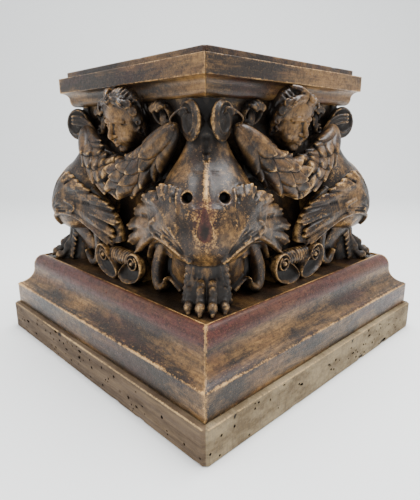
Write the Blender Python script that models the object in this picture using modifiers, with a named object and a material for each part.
"""A carved walnut capital: plinth board, mitred base moulding, carved body, abacus and top board.

Metres, +Z up. The origin is the centre of the plinth's underside, and the front is -Y.
"""
import math

import bmesh
import bpy
import numpy as np

# Plinth board
PLINTH_SIDE = 0.420
PLINTH_HEIGHT = 0.038
PLINTH_ARRIS = 0.0015

# Base moulding, four mitred lengths that stand on the plinth board
BASE_SETBACK = 0.007
BASE_HEIGHT = 0.0737
BASE_TIMBER = 0.0315
BASE_FASCIA_HEIGHT = 0.0291
BASE_FILLET = 0.0045
BASE_TORUS_WIDTH = 0.0123
BASE_TORUS_HEIGHT = 0.019
FLOOR_DROP = 0.0015

# Carved body, from the floor of the base to the underside of the abacus
BODY_HEIGHT = 0.205

# Abacus, four mitred lengths around the top of the carved body
ABACUS_SIDE = 0.2816
ABACUS_HEIGHT = 0.0358
ABACUS_FASCIA_HEIGHT = 0.0184
ABACUS_LOWER_CURVE = 0.0055
ABACUS_UPPER_CURVE = 0.0088
ABACUS_TIMBER = 0.0308

# Top board
TOP_SETBACK = 0.0068
TOP_HEIGHT = 0.007
TOP_ARRIS = 0.0012

# Joints, and how finely the carved body is faceted
JOINT_GAP = 0.0003
GRAIN_SIZE = 0.0024
QUARTER_TRIANGLES = 1780

# The carving is laid out in parts of about a millimetre. Its floor is at mark 111, the underside of
# the abacus at mark 316, and the edge of the floor 171.5 parts from the middle.
FLOOR_MARK = 111
ABACUS_MARK = 316
EDGE_MARK = 171.5

BASE_BOTTOM = PLINTH_HEIGHT + JOINT_GAP
BASE_TOP = BASE_BOTTOM + BASE_HEIGHT
BASE_FACE = PLINTH_SIDE / 2 - BASE_SETBACK
BASE_INSIDE = BASE_FACE - BASE_TIMBER
BLOCK_TOP = BASE_TOP - FLOOR_DROP
BODY_BOTTOM = BLOCK_TOP + JOINT_GAP
ABACUS_BOTTOM = BODY_BOTTOM + BODY_HEIGHT
ABACUS_TOP = ABACUS_BOTTOM + ABACUS_HEIGHT
ABACUS_FACE = ABACUS_SIDE / 2
ABACUS_INSIDE = ABACUS_FACE - ABACUS_TIMBER
TOP_BOTTOM = ABACUS_TOP + JOINT_GAP

PLAN = BASE_INSIDE / EDGE_MARK
RISE = BODY_HEIGHT / (ABACUS_MARK - FLOOR_MARK)


def wood(name, colour, roughness):
    """A waxed or bare wood of one colour."""
    material = bpy.data.materials.new(name)
    material.use_nodes = True
    shader = material.node_tree.nodes["Principled BSDF"]
    shader.inputs["Base Color"].default_value = (*colour, 1.0)
    shader.inputs["Roughness"].default_value = roughness
    shader.inputs["Metallic"].default_value = 0.0
    return material


def new_object(name, mesh, collection, material=None):
    """An object that shows a mesh, in a collection."""
    obj = bpy.data.objects.new(name, mesh)
    if material:
        mesh.materials.append(material)
    collection.objects.link(obj)
    return obj


def square_board(name, side, bottom, height, collection, material, arris=0.0):
    """A square board, its edges eased by a small bevel."""
    bm = bmesh.new()
    bmesh.ops.create_cube(bm, size=1.0)
    bmesh.ops.scale(bm, vec=(side, side, height), verts=bm.verts)
    bmesh.ops.translate(bm, vec=(0, 0, bottom + height / 2), verts=bm.verts)
    mesh = bpy.data.meshes.new(name)
    bm.to_mesh(mesh)
    bm.free()
    board = new_object(name, mesh, collection, material)
    if arris:
        ease = board.modifiers.new("Eased edges", "BEVEL")
        ease.width = arris
        ease.segments = 2
    return board


def arc(centre, radius_out, radius_up, start, stop, steps):
    """Points of an elliptic arc in the plane of distance outwards and height."""
    angles = np.radians(np.linspace(start, stop, steps + 1))
    return [(centre[0] + radius_out * math.cos(a), centre[1] + radius_up * math.sin(a)) for a in angles]


def base_profile():
    """The base moulding's outline: back, fascia, fillet, cove and torus."""
    fascia_top = BASE_BOTTOM + BASE_FASCIA_HEIGHT
    torus_foot = BASE_TOP - BASE_TORUS_HEIGHT
    torus_face = BASE_INSIDE + BASE_TORUS_WIDTH
    cove_foot = fascia_top + BASE_FILLET / 2
    cove_reach = BASE_FACE - BASE_FILLET - torus_face
    cove_rise = torus_foot - cove_foot
    cove_radius = (cove_reach ** 2 + cove_rise ** 2) / (2 * cove_reach)
    cove_start = -180 + math.degrees(math.asin(cove_rise / cove_radius))
    outline = [(BASE_INSIDE, BASE_BOTTOM), (BASE_FACE, BASE_BOTTOM), (BASE_FACE, fascia_top)]
    outline += arc((torus_face + cove_radius, torus_foot), cove_radius, cove_radius, cove_start, -180, 7)
    outline += arc((BASE_INSIDE, torus_foot), BASE_TORUS_WIDTH, BASE_TORUS_HEIGHT, 0, 90, 8)[1:]
    return outline


def abacus_profile():
    """The abacus moulding's outline: ogee below, fascia above."""
    fascia_foot = ABACUS_TOP - ABACUS_FASCIA_HEIGHT
    turn = ABACUS_FACE - ABACUS_UPPER_CURVE
    turn_height = (ABACUS_BOTTOM + fascia_foot) / 2
    lower_rise = turn_height - ABACUS_BOTTOM
    upper_rise = fascia_foot - turn_height
    outline = [(ABACUS_INSIDE, ABACUS_TOP), (ABACUS_INSIDE, ABACUS_BOTTOM)]
    outline += arc((turn - ABACUS_LOWER_CURVE, turn_height), ABACUS_LOWER_CURVE, lower_rise, -90, 0, 4)
    outline += arc((ABACUS_FACE, turn_height), ABACUS_UPPER_CURVE, upper_rise, 180, 90, 4)[1:]
    outline += [(ABACUS_FACE, ABACUS_TOP)]
    return outline


def mitred_length(name, outline, quarter_turns, collection, material):
    """One length of moulding: its outline run along one side, each end cut to the mitre."""
    bm = bmesh.new()
    ease = JOINT_GAP / math.sqrt(2)
    start = [bm.verts.new((ease - out, -out, up)) for out, up in outline]
    end_face = bm.faces.new(start)
    run = bmesh.ops.extrude_face_region(bm, geom=[end_face])
    for item in run["geom"]:
        if isinstance(item, bmesh.types.BMVert):
            item.co.x = -item.co.x
    bmesh.ops.recalc_face_normals(bm, faces=bm.faces)
    mesh = bpy.data.meshes.new(name)
    bm.to_mesh(mesh)
    bm.free()
    length = new_object(name, mesh, collection, material)
    length.rotation_euler.z = quarter_turns * math.pi / 2
    mesh.shade_smooth()
    mesh.set_sharp_from_angle(angle=math.radians(35))
    return length


def corner(out, side, up):
    """A point by the near right corner: out along the diagonal, sideways to the front, and up."""
    return np.array([(out - side) / math.sqrt(2), -(out + side) / math.sqrt(2), up], float)


def face(out, along, up):
    """A point on the front: out from the middle, along to the near right corner, and up."""
    return np.array([along, -out, up], float)


def smooth_rows(rows, steps):
    """Rows of numbers passed through by a smooth curve, read at even steps."""
    rows = np.array(rows, float)
    padded = np.vstack([2 * rows[0] - rows[1], rows, 2 * rows[-1] - rows[-2]])
    result = []
    for place in np.linspace(0, len(rows) - 1, steps):
        k = min(int(place), len(rows) - 2)
        t = place - k
        a, b, c, d = padded[k:k + 4]
        result.append(0.5 * (2 * b + (c - a) * t + (2 * a - 5 * b + 4 * c - d) * t ** 2
                             + (3 * b - a - 3 * c + d) * t ** 3))
    return np.array(result)


def loft(bm, rings):
    """A closed skin over rings of points, with a flat cap at each end."""
    rows = [[bm.verts.new(point) for point in ring] for ring in rings]
    count = len(rows[0])
    for lower, upper in zip(rows, rows[1:]):
        for i in range(count):
            j = (i + 1) % count
            bm.faces.new((lower[i], lower[j], upper[j], upper[i]))
    bm.faces.new(rows[0][::-1])
    bm.faces.new(rows[-1])


def bar(bm, rows, facing, steps=14, sides=12):
    """An oval bar along rows of point, half width and half depth, its depth towards facing."""
    stations = smooth_rows([(*point, width, depth) for point, width, depth in rows], steps)
    path = stations[:, :3]
    ahead = np.gradient(path, axis=0)
    angles = np.linspace(0, 2 * math.pi, sides, endpoint=False)
    rings = []
    for place, direction, station in zip(path, ahead, stations):
        across = np.cross(direction, facing)
        across /= np.linalg.norm(across) + 1e-9
        normal = np.cross(across, direction)
        normal /= np.linalg.norm(normal) + 1e-9
        width, depth = max(station[3], 0.3), max(station[4], 0.3)
        rings.append([place + across * width * math.cos(a) + normal * depth * math.sin(a) for a in angles])
    loft(bm, rings)


def ball(bm, centre, radii, tilt=0.0):
    """An egg on the front: radii along, out and up, nodding forwards by tilt degrees."""
    nod = math.radians(tilt)
    ball_verts = bmesh.ops.create_uvsphere(bm, u_segments=16, v_segments=10, radius=1.0)["verts"]
    for vert in ball_verts:
        along, out, up = vert.co.x * radii[0], -vert.co.y * radii[1], vert.co.z * radii[2]
        lean_out = out * math.cos(nod) + up * math.sin(nod)
        lean_up = up * math.cos(nod) - out * math.sin(nod)
        vert.co = centre + face(lean_out, along, lean_up)


FRONT = face(1, 0, 0)
DIAGONAL = corner(1, 0, 0)
UP = np.array([0.0, 0.0, 1.0])


def bell(bm):
    """The square bell at the heart of the carving, flared to a lip under the abacus."""
    rows = ((96, 113), (150, 113), (200, 111), (245, 110), (280, 114), (298, 119), (303, 121.5), (322, 121.5))
    corner_radius = 12
    rings = []
    for up, half in rows:
        inner = half - corner_radius
        ring = []
        for quarter in range(4):
            for degrees in (0, 45, 90):
                a = math.radians(degrees + 90 * quarter)
                sign_x = 1 if quarter in (0, 3) else -1
                sign_y = 1 if quarter in (0, 1) else -1
                ring.append((sign_x * inner + corner_radius * math.cos(a),
                             sign_y * inner + corner_radius * math.sin(a), up))
        rings.append(ring)
    loft(bm, rings)


def console(bm):
    """The bulb at a corner, its neck above and the leg below."""
    middle = 160
    bulb = ((149, 186, 10), (152, 196, 22), (158, 206, 35), (166, 213, 44), (178, 219, 52), (192, 221, 55),
            (205, 218, 54), (220, 211, 51), (235, 199, 47), (248, 185, 42), (260, 176.5, 36), (276, 171, 30),
            (300, 169, 27), (322, 168, 26))
    angles = np.linspace(0, 2 * math.pi, 28, endpoint=False)
    rings = []
    for up, front, half_width in smooth_rows(bulb, 24):
        rings.append([corner(middle + (front - middle) * math.cos(a), half_width * math.sin(a), up)
                      for a in angles])
    loft(bm, rings)
    leg = ((162, 180, 21, 23), (150, 182, 21, 20), (136, 184, 21, 19.5), (124, 188, 22, 22), (100, 192, 24, 25))
    rings = []
    for up, centre, depth, half_width in smooth_rows(leg, 10):
        rings.append([corner(centre + depth * math.cos(a), half_width * math.sin(a), up) for a in angles])
    loft(bm, rings)
    keel = [(corner(178, 0, 258), 1.5, 3), (corner(190, 0, 244), 3, 4), (corner(206, 0, 228), 4, 4),
            (corner(213, 0, 218), 2, 3)]
    bar(bm, keel, DIAGONAL)


def paw(bm):
    """Four toes fanned out from the leg, the outer two shorter and lower."""
    toe_pitch = 12.4
    for place in (-1.5, -0.5, 0.5, 1.5):
        outer = abs(place) > 1
        back = 13 if outer else 0
        drop = 5 if outer else 0
        spread = place * toe_pitch
        toe = [(corner(196 - back, spread * 0.8, 136 - drop), 5, 6),
               (corner(211 - back, spread * 0.9, 133 - drop), 6.4, 7),
               (corner(221 - back, spread * 0.97, 123 - drop / 2), 6.6, 8),
               (corner(229 - back, spread, 114), 5.6, 6),
               (corner(231.5 - back, spread, 107), 3.5, 4)]
        bar(bm, toe, UP, steps=12, sides=10)
    pad = [(corner(190, 0, 113), 24, 16), (corner(206, 0, 112), 24.5, 14), (corner(221, 0, 109), 20, 8)]
    bar(bm, pad, UP, steps=8)


def leg_fur(bm):
    """Saw-edged tufts down the side of a leg."""
    for k in range(5):
        up = 148 - 7.5 * k
        out = 190 + 1.2 * k
        tuft = [(corner(out - 2, 16, up + 4), 3, 4), (corner(out - 5, 21, up), 2.6, 3.5),
                (corner(out - 8, 26, up - 5), 0.8, 1.5)]
        bar(bm, tuft, DIAGONAL, steps=6, sides=8)


def volute(bm):
    """One of the pair of volutes at a corner: a dished disc, a spiral band and an eye."""
    centre = corner(173, 17, 292)
    turned = math.radians(62)
    outward = corner(math.cos(turned), math.sin(turned), 0)
    inward = corner(math.sin(turned), -math.cos(turned), 0)
    radius = 19
    angles = np.linspace(0, 2 * math.pi, 24, endpoint=False)
    rings = []
    for depth, share in ((-26, 0.3), (-9, 0.45), (-5.5, 0.94), (-1.5, 1.0), (0, 0.95)):
        rings.append([centre + outward * depth + radius * share * (inward * math.cos(a) + UP * math.sin(a))
                      for a in angles])
    loft(bm, rings)
    band = []
    turns = 1.6
    for step in range(15):
        share = step / 14
        a = math.radians(100) - share * turns * 2 * math.pi
        reach = 17.3 - 12.0 * share
        band.append((centre + outward * (1.5 + share) + reach * (inward * math.cos(a) + UP * math.sin(a)),
                     2.7 - 0.9 * share, 3.2))
    bar(bm, band, outward, steps=36, sides=8)


def swag(bm):
    """Half of a laurel swag, thick in the middle and knobbed at the end, with rows of leaves."""
    rows = [(face(143, -26, 236), 21.5, 21), (face(144, 0, 233), 22, 21), (face(143, 22, 236), 21, 20),
            (face(142, 42, 245), 18, 17.5), (face(140, 59, 258), 15, 14.5), (face(138, 72, 269), 13, 12.5),
            (face(136, 82, 278), 12, 12), (face(134, 89, 284), 6, 6)]
    bar(bm, rows, FRONT, steps=26, sides=16)
    web = [(face(124, -30, 236), 14, 16), (face(124, 0, 234), 14, 16), (face(124, 30, 240), 13, 14),
           (face(124, 58, 257), 9, 12), (face(124, 84, 279), 6, 10)]
    bar(bm, web, FRONT)
    spine = smooth_rows([(*point, width, depth) for point, width, depth in rows], 60)
    leaf_rows = 5
    for row in range(leaf_rows):
        here = spine[20 + int(34 * row / leaf_rows)]
        ahead = spine[12 + int(34 * row / leaf_rows)]
        along = ahead[:3] - here[:3]
        along /= np.linalg.norm(along)
        across = np.cross(along, FRONT)
        for place in (-1.5, -0.5, 0.5, 1.5) if row % 2 else (-1, 0, 1):
            angle = math.radians(48 * place)
            way_out = FRONT * math.cos(angle) + across * math.sin(angle)
            root = here[:3] + way_out * (here[3] - 3)
            tip = here[:3] + along * 20 + way_out * (ahead[3] + 1.5)
            middle = (root + tip) / 2 + way_out * 2.6
            bar(bm, [(root, 3, 2), (middle, 7, 3), (tip, 1.5, 2)], way_out, steps=7, sides=8)


def acanthus(bm):
    """Half of the leaf that springs from the scroll at the foot and spreads over a bulb."""
    rib = [(face(142, 20, 134), 5, 8), (face(147, 32, 146), 6, 8), (face(149, 45, 163), 8, 8),
           (face(151, 62, 176), 10, 8), (face(157, 84, 181), 12, 9), (face(163, 104, 178), 11, 9),
           (face(166, 122, 166), 8, 8)]
    bar(bm, rib, FRONT, steps=20)
    lobes = ((36, 150, 13, 157, 7), (50, 167, 7, 175, 10), (62, 180, 22, 198, 10), (74, 186, 44, 206, 9),
             (86, 190, 62, 217, 9), (96, 192, 79, 228, 8), (108, 196, 94, 234, 7))
    for root_along, root_up, tip_along, tip_up, half_width in lobes:
        root = face(148 + 0.1 * (root_along - 36), root_along, root_up)
        tip = face(146 + 0.08 * tip_along, tip_along, tip_up)
        middle = (root + tip) / 2 + face(3, 0, 0)
        blade = [(root, half_width * 0.8, 5), (middle, half_width * 1.05, 5.5), (tip * 0.8 + middle * 0.2,
                 half_width * 0.8, 4.5), (tip, 2.5, 2.5)]
        bar(bm, blade, FRONT, steps=10)
    sheet = [(face(141, 30, 158), 10, 5), (face(144, 52, 186), 16, 6), (face(148, 80, 203), 20, 8),
             (face(152, 104, 210), 20, 8)]
    bar(bm, sheet, FRONT, steps=12)
    backing = [(face(120, 78, 150), 18, 22), (face(124, 86, 190), 26, 26), (face(124, 84, 226), 22, 22)]
    bar(bm, backing, FRONT, steps=10)


def under_leaf(bm):
    """The small curl under the leaf, the hooked ribbon and the mantle leaf beside a leg."""
    curl = [(face(140, 66, 168), 6, 6), (face(143, 54, 160), 5, 6), (face(143, 48, 150), 4, 6),
            (face(142, 56, 144), 3, 5)]
    bar(bm, curl, FRONT, steps=12, sides=8)
    ribbon = [(face(128, 66, 156), 4, 10), (face(133, 54, 140), 3.4, 12), (face(137, 50, 126), 3.2, 12),
              (face(139, 58, 114), 3.2, 11), (face(137, 70, 116), 3.2, 10), (face(134, 81, 128), 3, 9)]
    bar(bm, ribbon, FRONT, steps=16, sides=10)
    mantle = [(face(148, 108, 164), 12, 6), (face(140, 97, 144), 15, 6), (face(134, 92, 126), 15, 6),
              (face(128, 97, 106), 9, 5)]
    bar(bm, mantle, FRONT, steps=12)


def bell_leaves(bm):
    """The curled leaf scoop beside a head, and the flutes that fan out under it."""
    scoop = [(face(118, 52, 268), 8, 5), (face(122, 50, 288), 9.5, 5), (face(124, 49, 302), 9.5, 4.5),
             (face(129, 49, 309), 9, 4), (face(134, 49, 305), 6, 3)]
    bar(bm, scoop, FRONT, steps=12)
    for k in range(4):
        spread = 12 + 12 * k
        flute = [(face(124, spread * 0.5, 246), 4, 6), (face(126, spread * 0.85, 264), 5, 6),
                 (face(122, spread * 1.1, 282 - 3 * k), 4, 5)]
        bar(bm, flute, FRONT, steps=8, sides=8)


def cherub_head(bm):
    """A cherub's head, bowed forwards, with a calm, plain face and hair swept back in curls."""
    bow = 18
    nod = math.radians(bow)
    middle = face(128, 0, 295)

    def head(out, along, up):
        return middle + face(out * math.cos(nod) + up * math.sin(nod), along,
                             up * math.cos(nod) - out * math.sin(nod))

    ball(bm, head(-6, 0, 10), (30, 31, 29), bow)
    ball(bm, head(1, 0, -8), (24.5, 25, 25), bow)
    for side in (-1, 1):
        ball(bm, head(14, side * 11.5, -11), (10.5, 10, 10), bow)
        ball(bm, head(19, side * 9, 7), (9, 6.5, 4), bow)
        ball(bm, head(20, side * 9.2, 0.5), (5.6, 4.4, 3.6), bow)
    ball(bm, head(18, 0, -27), (8, 7, 6.5), bow)
    bar(bm, [(head(22, 0, 4), 3, 4), (head(26, 0, -3), 3.6, 5), (head(29, 0, -8), 4.4, 4.4),
             (head(25, 0, -11), 2.5, 3)], FRONT, steps=8, sides=10)
    for up, width in ((-15.5, 7), (-19, 5.6)):
        bar(bm, [(head(20, -width, up), 1.2, 2), (head(25, 0, up + 0.5), 2.0, 2.6),
                 (head(20, width, up), 1.2, 2)], UP, steps=8, sides=8)
    forelock = [(head(8, -4, 34), 8, 7), (head(20, -2, 32), 8, 7), (head(25, 3, 25), 7, 6),
                (head(21, 8, 22), 4, 4)]
    bar(bm, forelock, FRONT, steps=12)
    locks = 5
    for side in (-1, 1):
        for k in range(locks):
            turn = math.radians(66 - 38 * k)
            reach_along = 25.5 * math.cos(turn)
            reach_up = 7 + 27 * math.sin(turn)
            front_line = 15 - 1.6 * k
            lock = [(head(front_line, side * reach_along * 0.9, reach_up * 0.92), 4.5, 4),
                    (head(front_line - 6, side * reach_along * 1.1, reach_up * 1.08), 7, 5.5),
                    (head(front_line - 16, side * reach_along * 1.16, reach_up * 1.1 - 3), 7, 5.5),
                    (head(front_line - 26, side * reach_along * 1.05, reach_up - 6), 5, 4)]
            bar(bm, lock, FRONT, steps=10, sides=8)


def foot_scroll(bm):
    """Half of the scroll at the foot of a face: a dished ear about an eye, and the ribbed bolster."""
    eye = face(150, 31, 136)
    along = face(0, 1, 0)
    ear = []
    for step in range(13):
        share = step / 12
        a = math.radians(165 - 330 * share)
        reach = 5.5 + 9.5 * share ** 0.8
        ear.append((eye + along * reach * math.cos(a) + UP * reach * math.sin(a) * 1.05,
                    3.0 + 6.0 * share, 5.5))
    ear.append((face(150, 12, 118), 7, 5.5))
    ear.append((face(150, 3, 115), 4.5, 5.5))
    bar(bm, ear, FRONT, steps=30, sides=10)
    rim = []
    for step in range(15):
        share = step / 14
        a = math.radians(200 - 330 * share)
        reach = 9 + 12.5 * share ** 0.8
        rim.append((eye + FRONT * 3 + along * reach * math.cos(a) + UP * reach * 0.95 * math.sin(a), 1.8, 4))
    bar(bm, rim, FRONT, steps=30, sides=8)
    bar(bm, [(face(144, 31, 136), 5, 5), (face(157, 31, 136), 4.6, 4.6)], UP, steps=4, sides=12)
    bolster = [(face(142, -34, 136), 9, 9), (face(142, 34, 136), 9, 9)]
    bar(bm, bolster, FRONT, steps=4)
    for k in range(4):
        rib = face(142, 3.5 + 6 * k, 136)
        bar(bm, [(rib - along * 2.2, 9.5, 9.5), (rib, 10.8, 10.8), (rib + along * 2.2, 9.5, 9.5)], FRONT, steps=5)
    support = [(face(126, -30, 118), 22, 19), (face(126, 30, 118), 22, 19)]
    bar(bm, support, FRONT, steps=4)


def parts_to_metres(bm):
    """Takes a carving from its parts to metres, standing on the floor of the base."""
    for vert in bm.verts:
        vert.co.x *= PLAN
        vert.co.y *= PLAN
        vert.co.z = BODY_BOTTOM + (vert.co.z - FLOOR_MARK) * RISE


def mirror_over_diagonal(bm):
    """Adds the mirror image of all that is modelled, beyond the diagonal."""
    copy = bmesh.ops.duplicate(bm, geom=bm.verts[:] + bm.edges[:] + bm.faces[:])["geom"]
    for item in copy:
        if isinstance(item, bmesh.types.BMVert):
            item.co.x, item.co.y = -item.co.y, -item.co.x
    bmesh.ops.reverse_faces(bm, faces=[item for item in copy if isinstance(item, bmesh.types.BMFace)])


def largest_shell(mesh):
    """Keeps the largest joined body of a mesh and drops the rest."""
    bm = bmesh.new()
    bm.from_mesh(mesh)
    left = set(bm.verts)
    shells = []
    while left:
        shell = {left.pop()}
        edge_of_shell = list(shell)
        while edge_of_shell:
            vert = edge_of_shell.pop()
            for edge in vert.link_edges:
                other = edge.other_vert(vert)
                if other in left:
                    left.remove(other)
                    shell.add(other)
                    edge_of_shell.append(other)
        shells.append(shell)
    keep = max(shells, key=len)
    bmesh.ops.delete(bm, geom=[vert for vert in bm.verts if vert not in keep], context="VERTS")
    bm.to_mesh(mesh)
    bm.free()


def cut_to_quarter(mesh):
    """Cuts a mesh off at the two planes between the quarters, and leaves it open there."""
    bm = bmesh.new()
    bm.from_mesh(mesh)
    for normal in ((-1, 0, 0), (0, 1, 0)):
        everything = bm.verts[:] + bm.edges[:] + bm.faces[:]
        bmesh.ops.bisect_plane(bm, geom=everything, plane_co=(0, 0, 0), plane_no=normal, clear_outer=True)
    bm.to_mesh(mesh)
    bm.free()


def settle_on_planes(mesh):
    """Puts the open edges of a quarter back on the planes that they were cut at."""
    bm = bmesh.new()
    bm.from_mesh(mesh)
    for vert in bm.verts:
        if vert.is_boundary:
            on_axis = max(abs(vert.co.x), abs(vert.co.y)) < GRAIN_SIZE
            if on_axis or abs(vert.co.x) < abs(vert.co.y):
                vert.co.x = 0
            if on_axis or abs(vert.co.y) < abs(vert.co.x):
                vert.co.y = 0
    bm.to_mesh(mesh)
    bm.free()


def evaluated_mesh(obj):
    """A mesh with all the object's modifiers worked in."""
    depsgraph = bpy.context.evaluated_depsgraph_get()
    return bpy.data.meshes.new_from_object(obj.evaluated_get(depsgraph))


def carved_quarter():
    """A quarter of the carving about one corner, worked into one skin of few facets."""
    bm = bmesh.new()
    for carve in (leg_fur, volute, swag, acanthus, under_leaf, bell_leaves, cherub_head, foot_scroll):
        carve(bm)
    mirror_over_diagonal(bm)
    for carve in (bell, console, paw):
        carve(bm)
    parts_to_metres(bm)
    bmesh.ops.recalc_face_normals(bm, faces=bm.faces)
    mesh = bpy.data.meshes.new("quarter_forms")
    bm.to_mesh(mesh)
    bm.free()
    forms = new_object("quarter_forms", mesh, bpy.context.scene.collection)
    join = forms.modifiers.new("One skin", "REMESH")
    join.mode = "VOXEL"
    join.voxel_size = GRAIN_SIZE
    ease = forms.modifiers.new("Eased skin", "SMOOTH")
    ease.factor = 0.5
    ease.iterations = 1
    skin = evaluated_mesh(forms)
    bpy.data.objects.remove(forms)
    largest_shell(skin)
    cut_to_quarter(skin)
    rough = new_object("quarter_skin", skin, bpy.context.scene.collection)
    facets = rough.modifiers.new("Few facets", "DECIMATE")
    facets.ratio = QUARTER_TRIANGLES / (2 * len(skin.polygons))
    quarter = evaluated_mesh(rough)
    bpy.data.objects.remove(rough)
    settle_on_planes(quarter)
    return quarter


def square_ring(half, up):
    """The corners of a square about the middle, at one height."""
    return [(-half, -half, up), (half, -half, up), (half, half, up), (-half, half, up)]


def trimming_cutters(collection):
    """What the carving is cut by: the floor, the abacus around it, the eyes and the drop of each bulb."""
    room = 0.002
    rim = BASE_INSIDE - JOINT_GAP
    tray = ((PLINTH_SIDE, BASE_BOTTOM), (PLINTH_SIDE, BASE_TOP + JOINT_GAP), (rim, BASE_TOP + JOINT_GAP),
            (rim - JOINT_GAP, BODY_BOTTOM))
    hood = [(out + JOINT_GAP, up - JOINT_GAP) for out, up in abacus_profile()[2:]]
    hood.append((ABACUS_FACE, ABACUS_TOP + room))
    bm = bmesh.new()
    for outline in (tray, hood):
        loft(bm, [square_ring(half, up) for half, up in outline])
    cutter_object("floor_and_abacus_cutter", bm, collection)


def cutter_object(name, bm, collection):
    """A cutter, shown as wire and left out of the render."""
    bmesh.ops.recalc_face_normals(bm, faces=bm.faces)
    mesh = bpy.data.meshes.new(name)
    bm.to_mesh(mesh)
    bm.free()
    cutter = new_object(name, mesh, collection)
    cutter.hide_render = True
    cutter.display_type = "WIRE"
    return cutter


def bulb_cutters(collection):
    """The two drilled eyes and the sunk drop of every bulb."""
    bm = bmesh.new()
    for side in (-1, 1):
        drill = [(corner(186, side * 16, 222), 5.2, 5.2), (corner(216, side * 20, 230), 6.2, 6.2)]
        bar(bm, drill, UP, steps=4, sides=10)
    drop = [(corner(214, 0, 218), 1.0, 3), (corner(219.5, 0, 207), 4.5, 4), (corner(222, 0, 195), 7.5, 4.5),
            (corner(222.5, 0, 187), 6.5, 4), (corner(222, 0, 183), 2, 3)]
    bar(bm, drop, DIAGONAL, steps=9, sides=10)
    quarter = bm.verts[:] + bm.edges[:] + bm.faces[:]
    for turn in (1, 2, 3):
        copy = bmesh.ops.duplicate(bm, geom=quarter)["geom"]
        for item in copy:
            if isinstance(item, bmesh.types.BMVert):
                for _ in range(turn):
                    item.co.x, item.co.y = -item.co.y, item.co.x
    parts_to_metres(bm)
    cutter_object("bulb_cutter", bm, collection)


def carved_body(collection, cutters, material):
    """The carved body: four quarters made one, cut to the floor and the abacus, and its tenon on top."""
    body = new_object("carved_body", carved_quarter(), collection, material)
    mirror = body.modifiers.new("Four quarters", "MIRROR")
    mirror.use_axis = (True, True, False)
    mirror.merge_threshold = 0.0001
    trimming_cutters(cutters)
    bulb_cutters(cutters)
    tenon_half = ABACUS_INSIDE - JOINT_GAP
    tenon_foot = BODY_BOTTOM + BODY_HEIGHT * 0.85
    tenon = square_board("tenon_block", 2 * tenon_half, tenon_foot, ABACUS_TOP - tenon_foot, cutters, None)
    tenon.hide_render = True
    tenon.display_type = "WIRE"
    for name in ("floor_and_abacus_cutter", "bulb_cutter"):
        cut = body.modifiers.new(name, "BOOLEAN")
        cut.operation = "DIFFERENCE"
        cut.solver = "EXACT"
        cut.object = cutters.objects[name]
    join = body.modifiers.new("tenon", "BOOLEAN")
    join.operation = "UNION"
    join.solver = "EXACT"
    join.object = tenon
    return body


def build():
    """Clears the scene and builds every piece."""
    for obj in list(bpy.data.objects):
        bpy.data.objects.remove(obj)
    pieces = bpy.data.collections.new("carved_wooden_capital")
    cutters = bpy.data.collections.new("cutters")
    bpy.context.scene.collection.children.link(pieces)
    bpy.context.scene.collection.children.link(cutters)

    bare = wood("bare_walnut", (0.29, 0.21, 0.14), 0.75)
    waxed = wood("waxed_walnut", (0.10, 0.055, 0.030), 0.42)
    carved = wood("carved_walnut", (0.13, 0.075, 0.040), 0.38)

    square_board("plinth_board", PLINTH_SIDE, 0.0, PLINTH_HEIGHT, pieces, bare, PLINTH_ARRIS)
    sides = ("front", "right", "back", "left")
    for turn, side in enumerate(sides):
        mitred_length(f"base_moulding_{side}", base_profile(), turn, pieces, waxed)
        mitred_length(f"abacus_moulding_{side}", abacus_profile(), turn, pieces, waxed)
    block_side = 2 * (BASE_INSIDE - JOINT_GAP)
    square_board("base_block", block_side, BASE_BOTTOM, BLOCK_TOP - BASE_BOTTOM, pieces, waxed)
    carved_body(pieces, cutters, carved)
    top_side = ABACUS_SIDE - 2 * TOP_SETBACK
    square_board("top_board", top_side, TOP_BOTTOM, TOP_HEIGHT, pieces, waxed, TOP_ARRIS)


build()
